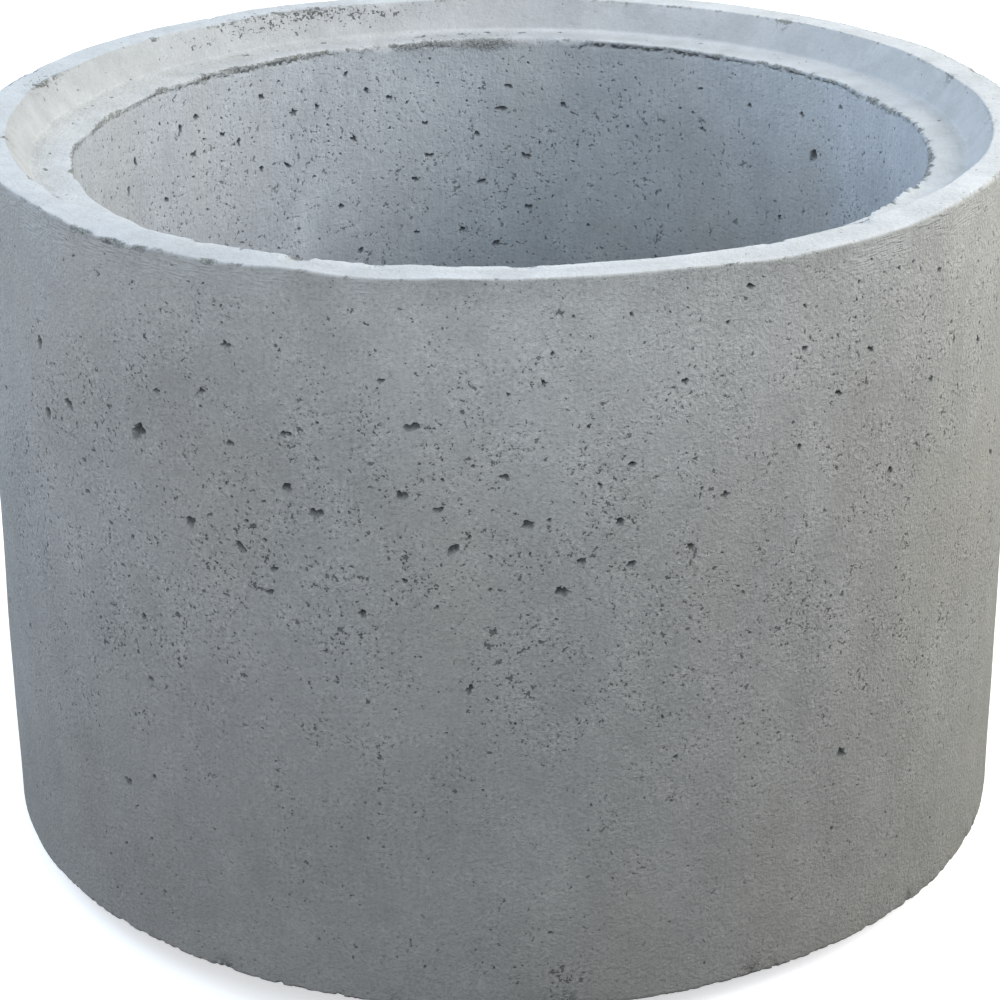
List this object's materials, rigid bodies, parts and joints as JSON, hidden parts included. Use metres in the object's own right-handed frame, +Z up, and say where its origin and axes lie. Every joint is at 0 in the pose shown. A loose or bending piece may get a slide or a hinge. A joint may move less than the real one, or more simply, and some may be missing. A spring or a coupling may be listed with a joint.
{
  "type": "concrete culvert ring",
  "caption": "Round cast concrete ring, open at both ends, with a rebate round the top of its wall and a spigot foot that seats in the rebate of the ring below.",
  "frame": {"origin": "on the ring's axis, at the level of the spigot foot that it stands on", "axes": "+Z up the ring's axis, from the spigot foot to the rebated rim; +X and +Y are any two directions square to it, because the ring is turned"},
  "size_m": [0.86, 0.86, 0.612],
  "materials": {
    "concrete": "matte cast concrete with open pores, pits and a fine sandy grain"
  },
  "bodies": {
    "root": {"concrete_ring": "concrete"}
  },
  "joints": []
}
